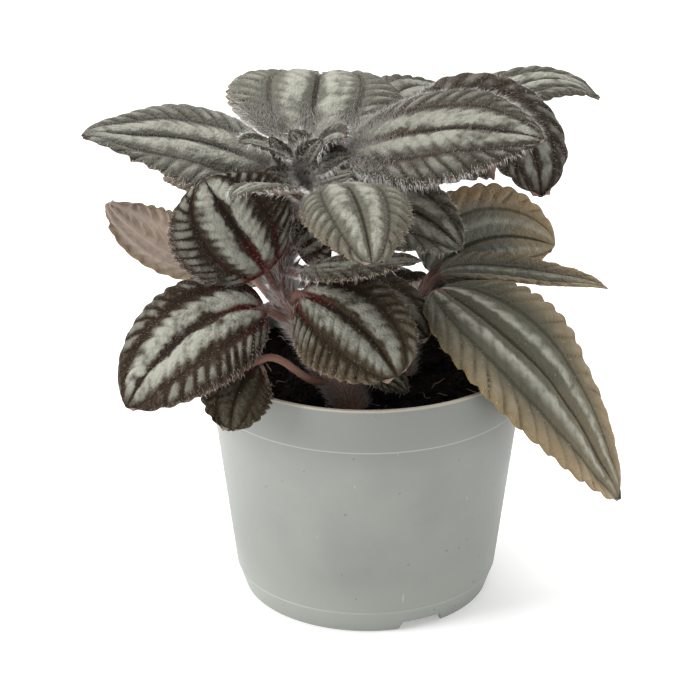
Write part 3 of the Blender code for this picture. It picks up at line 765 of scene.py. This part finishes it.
def make_leaf(leaf, look):
    """One finished leaf with its stalk."""
    rows = leaf.teeth * ROWS_PER_TOOTH + 1
    u = np.linspace(BLADE_FIRST, BLADE_LAST, rows)[:, None]
    v = np.linspace(-1, 1, COLUMNS)[None, :]
    top = blade_points(leaf, u, v)
    normals = grid_normals(top)
    wave = np.array([noise.noise(Vector(p) * WAVE_SCALE + WAVE_PLACE) for p in top.reshape(-1, 3)])
    small = min(1, leaf.width / FULL_WIDTH)
    top += normals * (WAVE_DEPTH * wave.reshape(rows, COLUMNS))[..., None] * small
    s = np.abs(np.broadcast_to(v, (rows, COLUMNS)))
    thick = BLADE_THICK * (1 - EDGE_THINNING * s ** 6)
    low = top - normals * thick[..., None]
    _, along = midrib(leaf, u)
    out = unit(np.gradient(top, axis=1) * np.sign(v)[..., None])
    edge = np.clip((s - 0.8) / 0.2, 0, 1)[..., None]
    ways = normals + 0.5 * along[:, None] + 1.5 * edge * out
    uvs = np.stack(np.broadcast_arrays(u, (v + 1) / 2), axis=-1).reshape(-1, 2)
    on_rib = np.maximum(np.exp(-((s - 0.5) / 0.05) ** 2), np.exp(-(s / 0.05) ** 2))
    heart = HEART_HAIR.get(leaf.name, 1.0) * np.clip(1 - u / HEART_REACH, 0, 1)
    hairy = look.hair * (FACE_HAIR + FRINGE_HAIR * edge[..., 0] ** 2 + RIB_HAIR * on_rib + heart)
    builder = Builder()
    shared = {"age": look.age, "silver": look.silver, "bloom": look.bloom, "dry": look.dry}
    swell = cushions(leaf, u, v).ravel()
    first = builder.add_points(top.reshape(-1, 3), uvs, ways.reshape(-1, 3),
                               hairy=hairy.ravel(), swell=swell, **shared)
    below = builder.add_points(low.reshape(-1, 3), uvs, -normals.reshape(-1, 3),
                               hairy=look.hair * UNDER_HAIR, swell=swell, **shared)
    upper, lower, rim = [], [], []
    for i in range(rows - 1):
        for j in range(COLUMNS - 1):
            a = i * COLUMNS + j
            corners = (a, a + 1, a + 1 + COLUMNS, a + COLUMNS)
            upper.append(tuple(first + c for c in corners))
            lower.append(tuple(below + c for c in corners[::-1]))
    border = list(range(COLUMNS))
    border += [i * COLUMNS + COLUMNS - 1 for i in range(1, rows)]
    border += [(rows - 1) * COLUMNS + j for j in range(COLUMNS - 2, -1, -1)]
    border += [i * COLUMNS for i in range(rows - 2, 0, -1)]
    for a, b in zip(border, border[1:] + border[:1]):
        rim.append((first + b, first + a, below + a, below + b))
    builder.add_faces(upper, TOP_SLOT)
    builder.add_faces(lower, UNDER_SLOT)
    builder.add_faces(rim, TOP_SLOT)
    path, radii = stalk_path(leaf)
    add_tube(builder, path, radii, STALK_SIDES, STALK_SLOT, look.hair * STALK_HAIR, **shared)
    thing = builder.finish(leaf.name + "_grown", [LEAF_TOP, LEAF_UNDER, STEM_SKIN])
    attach(thing, "root")
    return thing


leaves = [make_leaf(leaf, LOOKS.get(leaf.name, USUAL_LOOK)) for leaf in LEAVES]
for leaf, thing in zip(LEAVES, leaves):
    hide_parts(leaf.name)
buds = [make_leaf(leaf, BUD_LOOK) for leaf in BUDS]
print("leaf faces:", sum(len(leaf.data.polygons) for leaf in leaves))

# %% [markdown]
# The shoots are fleshy, and a little swollen where leaves sit. They are lathed along their curve with a
# slow wobble in their width.

# %% Shoots
STIPULE_LENGTH = 4.5
STIPULE_RADII = (0.7, 0.8, 0.6, 0.35, 0.08)
STIPULE_SIDES = 7
STIPULE_HAIR = 0.6
STIPULE_FROM_WIDTH = 14  # narrower leaves have none
SHOOT_SIDES = 28
SHOOT_HAIR = 3.0
NODE_SWELLING = 0.12
WOBBLE = 0.04


def add_stipules(builder, leaf):
    """Two small pointed scales, one on each side of a leaf stalk's foot."""
    path, radii = stalk_path(leaf)
    foot, way = path[1], (path[3] - path[1]).normalized()
    aside = way.cross(Vector((0, 0, 1))).normalized()
    for turn in (-1, 1):
        out = (way + aside * turn * 0.8 + Vector((0, 0, 0.5))).normalized()
        start = foot + aside * turn * radii[1] * 0.7
        scale = [start + out * STIPULE_LENGTH * k / 4 + Vector((0, 0, 0.12 * k * k)) for k in range(5)]
        add_tube(builder, scale, STIPULE_RADII, STIPULE_SIDES, 0, STIPULE_HAIR)


def make_shoot(shoot):
    """A finished stem, which replaces its solid."""
    places, radii = SHOOT_LINES[shoot.name]
    heights = [leaf.height for leaf in LEAVES if leaf.shoot == shoot.name]
    wide = []
    for place, radius in zip(places, radii):
        near = min(abs(place.z - height) for height in heights)
        swelling = NODE_SWELLING * math.exp(-(near / 2.0) ** 2)
        wide.append(radius * (1 + swelling + WOBBLE * math.sin(place.z * 1.3)))
    builder = Builder()
    add_tube(builder, places, wide, SHOOT_SIDES, 0, SHOOT_HAIR)
    for leaf in LEAVES:
        if leaf.shoot == shoot.name and leaf.width > STIPULE_FROM_WIDTH:
            add_stipules(builder, leaf)
    thing = builder.finish(shoot.name + "_grown", [STEM_SKIN])
    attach(thing, "root")
    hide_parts(shoot.name)
    return thing


shoots = [make_shoot(shoot) for shoot in SHOOTS]
print("shoot faces:", sum(len(shoot.data.polygons) for shoot in shoots))

# %% [markdown]
# Hairs repeat thousands of times, so Geometry Nodes place them. The tree scatters points over the skin,
# more where the attribute called hairy is high, stands a thin three-sided spike on each, and leans it the
# way that the skin's own hair_way attribute says. Realize Instances makes one plain mesh of them.

# %% Hair tree
HAIRS_PER_SQUARE_METRE = 1700000.0
HAIR_LENGTH = 1.2 * MM
STEM_HAIR_LENGTH = 2.4 * MM
HAIR_RADIUS = 0.035 * MM
HAIR_SCATTER = 0.45


def new_group(name, inputs):
    """A Geometry Nodes tree with the given inputs besides its mesh, and their sockets."""
    tree = bpy.data.node_groups.new(name, "GeometryNodeTree")
    for way in ("INPUT", "OUTPUT"):
        tree.interface.new_socket("Geometry", in_out=way, socket_type="NodeSocketGeometry")
    for label, value in inputs.items():
        kind = "NodeSocketInt" if isinstance(value, int) else "NodeSocketFloat"
        tree.interface.new_socket(label, in_out="INPUT", socket_type=kind).default_value = value
    return tree, tree.nodes.new("NodeGroupInput").outputs


def random_vector(tree, low, high, seed):
    """A random vector for each point."""
    inputs = {0: low, 1: high, "Seed": seed}
    return add(tree, "FunctionNodeRandomValue", inputs, data_type="FLOAT_VECTOR").outputs[0]


def place_copies(tree, material, points, instance, rotation, scale):
    """Sets a copy on each point, makes them one mesh of a material, and gives it out."""
    placed = add(tree, "GeometryNodeInstanceOnPoints",
                 {"Points": points.outputs["Points"], "Instance": instance.outputs["Mesh"],
                  "Rotation": rotation, "Scale": scale})
    real = add(tree, "GeometryNodeRealizeInstances", {0: placed.outputs[0]})
    coated = add(tree, "GeometryNodeSetMaterial", {"Geometry": real.outputs[0], "Material": material})
    tree.links.new(coated.outputs[0], tree.nodes.new("NodeGroupOutput").inputs[0])


def hair_tree():
    """The node tree that grows hairs on a mesh."""
    tree, given = new_group("grow_hairs", {"Density": HAIRS_PER_SQUARE_METRE, "Length": HAIR_LENGTH,
                                           "Radius": HAIR_RADIUS, "Seed": 1})
    hairy = add(tree, "GeometryNodeInputNamedAttribute", {"Name": "hairy"}, data_type="FLOAT").outputs[0]
    points = add(tree, "GeometryNodeDistributePointsOnFaces",
                 {"Mesh": given["Geometry"], "Density": both(tree, hairy, given["Density"]),
                  "Seed": given["Seed"]})
    way = add(tree, "GeometryNodeInputNamedAttribute", {"Name": "hair_way"}, data_type="FLOAT_VECTOR")
    scatter = random_vector(tree, (-HAIR_SCATTER,) * 3, (HAIR_SCATTER,) * 3, given["Seed"])
    lean = add(tree, "ShaderNodeVectorMath", {0: way.outputs[0], 1: scatter}, operation="ADD")
    turn = add(tree, "FunctionNodeAlignRotationToVector", {"Vector": lean.outputs[0]}, axis="Z")
    spike = add(tree, "GeometryNodeMeshCone",
                {"Vertices": 3, "Radius Top": 0.0, "Radius Bottom": given["Radius"],
                 "Depth": given["Length"]}, fill_type="NGON")
    size = add(tree, "FunctionNodeRandomValue", {2: 0.45, 3: 1.25, "Seed": 5}, data_type="FLOAT")
    longer_where_thick = add(tree, "ShaderNodeMapRange",
                             {"Value": hairy, "From Min": 0.3, "From Max": 4.0,
                              "To Min": 0.7, "To Max": 1.7}).outputs[0]
    scale = both(tree, size.outputs[1], longer_where_thick)
    place_copies(tree, PLANT_HAIR, points, spike, turn.outputs[0], scale)
    return tree


def plain_mesh(thing, name):
    """A new object whose mesh is thing with its modifiers applied."""
    graph = bpy.context.evaluated_depsgraph_get()
    mesh = bpy.data.meshes.new_from_object(thing.evaluated_get(graph))
    mesh.name = name
    return put(name, mesh)


def grow_hairs(name, skins, seed, length):
    """Hairs on several skins, as one piece."""
    joined = bmesh.new()
    for skin in skins:
        joined.from_mesh(skin.data)
    mesh = bpy.data.meshes.new(name + "_skin")
    joined.to_mesh(mesh)
    joined.free()
    skin = put(name + "_skin", mesh)
    step = skin.modifiers.new("hairs", "NODES")
    step.node_group = HAIR_TREE
    inputs = [item for item in HAIR_TREE.interface.items_tree if item.in_out == "INPUT"]
    sockets = {item.name: item.identifier for item in inputs}
    step[sockets["Seed"]] = seed
    step[sockets["Length"]] = length
    made = plain_mesh(skin, name)
    for key in (*POINT_VALUES, "hair_way"):
        if key in made.data.attributes:
            made.data.attributes.remove(made.data.attributes[key])
    bpy.data.objects.remove(skin)
    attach(made, "root")
    print(name, len(made.data.polygons), "faces")


HAIR_TREE = hair_tree()
GROUP_SIZE = 8
LEAF_SEED, BUD_SEED, STEM_SEED = 11, 21, 31
for start_at in range(0, len(leaves), GROUP_SIZE):
    group = start_at // GROUP_SIZE
    skins = leaves[start_at:start_at + GROUP_SIZE]
    grow_hairs(f"leaf_hairs_{group}", skins, LEAF_SEED + group, HAIR_LENGTH)
grow_hairs("bud_hairs", buds, BUD_SEED, HAIR_LENGTH)
grow_hairs("stem_hairs", shoots, STEM_SEED, STEM_HAIR_LENGTH)

# %% [markdown]
# The pot is turned from the profile that the solid has, with many more sides and softened corners. A
# moulded nursery pot is thin and satin, with a fine seam under its band and at its foot, and it always
# carries dust and scratches.

# %% Pot
POT_SIDES = 192
POT_PROFILE = (
    (0, 4.2), (34.7, 4.2), (33.2, 0.15), (33.4, 0.0), (34.3, 0.0), (34.6, 0.2), (35.0, 0.6),
    (37.0, 6.6), (37.15, 6.8), (37.1, 6.95), (37.3, 7.2), (43.6, 58.4), (43.75, 58.8), (44.25, 58.95),
    (44.4, 59.15), (44.8, 70.6), (44.85, 71.2), (44.7, 71.6), (44.4, 71.7), (43.9, 71.7), (43.6, 71.5),
    (43.5, 70.9), (42.6, 58.0), (36.1, 7.5), (35.4, 6.0), (34.9, 5.4), (0, 5.4),
)
NOTCH_DEGREES = (-64.0, 56.0, 176.0)
NOTCH_HALF_WIDE = 7.2
NOTCH_SLANT = 1.4
NOTCH_HIGH = 2.8
NOTCH_REACH = (28, 42)
DRAIN_COUNT = 6
DRAIN_RADIUS = 3.2
DRAIN_CIRCLE = 24.0
DRAIN_SIDES = 24
DRAIN_LOW, DRAIN_HIGH = 3.0, 7.0
DRAIN_TURN = 0.07  # keeps the corners of a hole off the spokes of the pot's floor
SHARP_DEGREES = 50
SEAM_LEVELS = (59.0, 6.9)
POT_DARK = (0.190, 0.200, 0.181)
POT_PALE = (0.232, 0.241, 0.218)
POT_FOOT_BOUNCE_LIGHT = (0.268, 0.278, 0.252)
POT_BAND_SHADE = (0.176, 0.185, 0.167)
POT_SEAM = (0.42, 0.43, 0.40)
POT_LIP = (0.40, 0.36, 0.30)
POT_SPECK = (0.12, 0.11, 0.10)
POT_SCRATCH = (0.75, 0.77, 0.74)


def turned(name, profile, sides, lift=None):
    """A closed mesh turned round Z from a profile in millimetres that starts and ends on the axis."""
    points, rings = [], []
    for radius, height in profile:
        count = 1 if radius == 0 else sides
        rings.append(range(len(points), len(points) + count))
        for k in range(count):
            x, y = radius * math.cos(math.tau * k / sides), radius * math.sin(math.tau * k / sides)
            points.append((x, y, height + (lift(x, y, height) if lift else 0)))
    faces = []
    for low, high in zip(rings, rings[1:]):
        for k in range(sides):
            j = (k + 1) % sides
            corners = (low[k % len(low)], low[j % len(low)], high[j % len(high)], high[k % len(high)])
            faces.append(tuple(dict.fromkeys(corners)))
    mesh = bpy.data.meshes.new(name)
    mesh.from_pydata([(x * MM, y * MM, z * MM) for x, y, z in points], [], faces)
    mesh.shade_smooth()
    return put(name, mesh)


def block(name, corners, faces):
    """A cutter from corners in millimetres."""
    mesh = bpy.data.meshes.new(name)
    mesh.from_pydata([Vector(c) * MM for c in corners], [], faces)
    work = bmesh.new()
    work.from_mesh(mesh)
    bmesh.ops.recalc_face_normals(work, faces=work.faces)
    work.to_mesh(mesh)
    work.free()
    return put(name, mesh)


def pot_cutters():
    """The foot notches and the drain holes."""
    cutters = []
    for degrees in NOTCH_DEGREES:
        angle = math.radians(degrees)
        out = Vector((math.cos(angle), math.sin(angle), 0))
        along = Vector((-math.sin(angle), math.cos(angle), 0))
        shape = ((-NOTCH_HALF_WIDE, -1), (NOTCH_HALF_WIDE, -1), (NOTCH_HALF_WIDE - NOTCH_SLANT, NOTCH_HIGH),
                 (NOTCH_SLANT - NOTCH_HALF_WIDE, NOTCH_HIGH))
        corners = [out * r + along * a + Vector((0, 0, z)) for r in NOTCH_REACH for a, z in shape]
        faces = [(3, 2, 1, 0), (4, 5, 6, 7)] + [(i, (i + 1) % 4, (i + 1) % 4 + 4, i + 4) for i in range(4)]
        cutters.append(block("notch", corners, faces))
    for k in range(DRAIN_COUNT):
        angle = math.tau * (k + 0.5) / DRAIN_COUNT
        x, y = DRAIN_CIRCLE * math.cos(angle), DRAIN_CIRCLE * math.sin(angle)
        turns = DRAIN_TURN + np.linspace(0, math.tau, DRAIN_SIDES + 1)[:-1]
        ring = [(x + DRAIN_RADIUS * math.cos(t), y + DRAIN_RADIUS * math.sin(t)) for t in turns]
        corners = [(a, b, z) for z in (DRAIN_LOW, DRAIN_HIGH) for a, b in ring]
        count = DRAIN_SIDES
        faces = [tuple(range(count))[::-1], tuple(range(count, 2 * count))]
        faces += [(i, (i + 1) % count, (i + 1) % count + count, i + count) for i in range(count)]
        cutters.append(block("drain", corners, faces))
    return cutters


def pot_material():
    """Pale grey-green plastic with cloudy tone, dust specks and a few scratches, painted light at its foot
    and painted shade on its band.
    """
    made, tree, shader = new_material("pot_plastic", 0.38)
    place = add(tree, "ShaderNodeTexCoord").outputs["Object"]
    cloud = ramp(tree, speckle(tree, 38.0), 0.3, 0.7)
    colour = blend(tree, cloud, POT_DARK, POT_PALE)
    height = add(tree, "ShaderNodeSeparateXYZ", {0: place}).outputs[2]
    # Painted light: the foot is paler, as if lit by light bounced up from the floor.
    colour = blend(tree, ramp(tree, height, 0.022, 0.004), colour, POT_FOOT_BOUNCE_LIGHT)
    # Painted shade: the band below the rim is darker, as if shaded by the leaves above.
    colour = blend(tree, ramp(tree, height, 0.050, 0.064), colour, POT_BAND_SHADE)
    for level in SEAM_LEVELS:
        line = maths(tree, "ABSOLUTE", maths(tree, "SUBTRACT", height, level * MM))
        colour = blend(tree, both(tree, ramp(tree, line, 0.0005, 0.0001), 0.5), colour, POT_SEAM)
    colour = blend(tree, ramp(tree, height, 0.0708, 0.0715), colour, POT_LIP)
    specks = ramp(tree, speckle(tree, 520.0, 2.0), 0.715, 0.755)
    colour = blend(tree, both(tree, specks, 0.7), colour, POT_SPECK)
    long_way = add(tree, "ShaderNodeMapping",
                   {"Vector": place, "Scale": (1.0, 1.0, 0.06), "Rotation": (0.5, 0.35, 0)})
    scratches = ramp(tree, speckle(tree, 900.0, 1.0, long_way.outputs[0]), 0.785, 0.82)
    colour = blend(tree, both(tree, scratches, 0.6), colour, POT_SCRATCH)
    finish_material(tree, shader, colour, speckle(tree, 500.0, 3.0), 0.00005)
    rough = add(tree, "ShaderNodeMapRange", {"Value": cloud, "To Min": 0.42, "To Max": 0.58})
    tree.links.new(rough.outputs[0], shader.inputs["Roughness"])
    return made


def make_pot():
    """The finished pot, which replaces its solid."""
    raw = turned("pot_raw", POT_PROFILE, POT_SIDES)
    cutters = pot_cutters()
    for cutter in cutters:
        step = raw.modifiers.new("cut", "BOOLEAN")
        step.operation = "DIFFERENCE"
        step.object = cutter
    pot = plain_mesh(raw, "pot_moulded")
    for thing in cutters + [raw]:
        bpy.data.objects.remove(thing)
    pot.data.materials.clear()
    pot.data.materials.append(pot_material())
    pot.data.set_sharp_from_angle(angle=math.radians(SHARP_DEGREES))
    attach(pot, "root")
    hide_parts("pot")
    print("pot faces:", len(pot.data.polygons))


make_pot()

# %% [markdown]
# Compost is dark peat with crumbs and a few pale fibres. A bumpy bed fills the pot, and Geometry Nodes
# scatter crumbs on its top.

# %% Compost
SOIL_TOP = 63.5
SOIL_RADIUS = 42.3
SOIL_SIDES = 120
SOIL_RINGS = 40
SOIL_SIDE = ((0, 5.6), (34.0, 5.6), (35.5, 8.0), (42.1, 60.5))
SOIL_BUMPS = ((1.6, 0.11), (0.9, 0.35), (0.5, 0.9))  # depth and rate
CRUMBS_PER_SQUARE_METRE = 420000.0
CRUMB_SIZE = 0.9 * MM
CRUMB_DEPTH = 4  # how far below the top of the bed crumbs may lie
FIBRE_COUNT = 34
FIBRE_REACH = 38
FIBRE_STEPS = 6
FIBRE_SIDES = 5
FIBRE_RADII = (0.06, 0.13, 0.15, 0.14, 0.11, 0.05)
PEAT_DARK = (0.0006, 0.0004, 0.0004)
PEAT_BROWN = (0.008, 0.005, 0.0035)
PEAT_BIT = (0.07, 0.045, 0.03)
FIBRE_DARK = (0.10, 0.065, 0.04)
FIBRE_PALE = (0.34, 0.26, 0.18)


def soil_lift(x, y, height):
    """The bumps on top of the bed, fading at its rim."""
    if height < SOIL_TOP:
        return 0
    place = Vector((x, y, 0))
    return sum(depth * noise.noise(place * rate) for depth, rate in SOIL_BUMPS)


def soil_material():
    """Nearly black, moist, with brown and grey bits."""
    made, tree, shader = new_material("compost", 0.85)
    colour = blend(tree, speckle(tree, 300.0, 8.0), PEAT_DARK, PEAT_BROWN)
    bits = ramp(tree, speckle(tree, 800.0, 2.0), 0.66, 0.72)
    colour = blend(tree, both(tree, bits, 0.5), colour, PEAT_BIT)
    finish_material(tree, shader, colour, speckle(tree, 500.0, 8.0), 0.001)
    shader.inputs["Specular IOR Level"].default_value = 0.1
    return made


def crumb_tree(material):
    """The node tree that scatters crumbs over the upward faces of a mesh."""
    tree, given = new_group("scatter_crumbs", {"Density": CRUMBS_PER_SQUARE_METRE, "Crumb size": CRUMB_SIZE})
    normal, position = add(tree, "GeometryNodeInputNormal"), add(tree, "GeometryNodeInputPosition")
    upward = add(tree, "ShaderNodeSeparateXYZ", {0: normal.outputs[0]}).outputs[2]
    height = add(tree, "ShaderNodeSeparateXYZ", {0: position.outputs[0]}).outputs[2]
    on_top = both(tree, maths(tree, "GREATER_THAN", upward, 0.3),
                  maths(tree, "GREATER_THAN", height, (SOIL_TOP - CRUMB_DEPTH) * MM))
    points = add(tree, "GeometryNodeDistributePointsOnFaces",
                 {"Mesh": given["Geometry"], "Selection": on_top, "Density": given["Density"], "Seed": 3})
    ball = add(tree, "GeometryNodeMeshIcoSphere", {"Radius": given["Crumb size"], "Subdivisions": 1})
    turn = random_vector(tree, (0.0,) * 3, (math.tau,) * 3, 4)
    size = random_vector(tree, (0.2, 0.2, 0.2), (1.0, 0.7, 1.3), 5)
    place_copies(tree, material, points, ball, turn, size)
    return tree


def make_soil():
    """The bed of compost, which replaces its solid, and its crumbs."""
    rings = [(SOIL_RADIUS * (1 - k / SOIL_RINGS), SOIL_TOP) for k in range(SOIL_RINGS)]
    profile = [*SOIL_SIDE, *rings, (0, SOIL_TOP)]
    bed = turned("compost_bed", profile, SOIL_SIDES, soil_lift)
    material = soil_material()
    bed.data.materials.append(material)
    step = bed.modifiers.new("crumbs", "NODES")
    step.node_group = crumb_tree(material)
    crumbs = plain_mesh(bed, "compost_crumbs")
    bed.modifiers.clear()
    for thing in (bed, crumbs):
        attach(thing, "root")
    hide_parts("soil")
    print("crumb faces:", len(crumbs.data.polygons))


def straw_material():
    """Pale, dry root fibres."""
    made, tree, shader = new_material("root_fibre", 0.8)
    colour = blend(tree, speckle(tree, 300.0), FIBRE_DARK, FIBRE_PALE)
    finish_material(tree, shader, colour)
    return made


def make_fibres():
    """Short fibres that lie on the compost, as one piece."""
    draw = np.random.default_rng(5)
    builder = Builder()
    for _ in range(FIBRE_COUNT):
        far = FIBRE_REACH * math.sqrt(draw.random())
        turn, way = draw.random() * math.tau, draw.random() * math.tau
        here = Vector((far * math.cos(turn), far * math.sin(turn), 0))
        path = []
        for k in range(FIBRE_STEPS):
            lift = soil_lift(here.x, here.y, SOIL_TOP) + 0.7 + 0.5 * math.sin(k * 1.1 + way)
            path.append(Vector((here.x, here.y, SOIL_TOP + lift)))
            way += draw.normal(0, 0.35)
            here += Vector((math.cos(way), math.sin(way), 0)) * draw.uniform(0.7, 1.5)
        if max(p.xy.length for p in path) < SOIL_RADIUS - 1:
            add_tube(builder, path, FIBRE_RADII, FIBRE_SIDES, 0, 0.0)
    thing = builder.finish("root_fibres", [straw_material()])
    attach(thing, "root")
    print("fibre faces:", len(thing.data.polygons))


make_soil()
make_fibres()
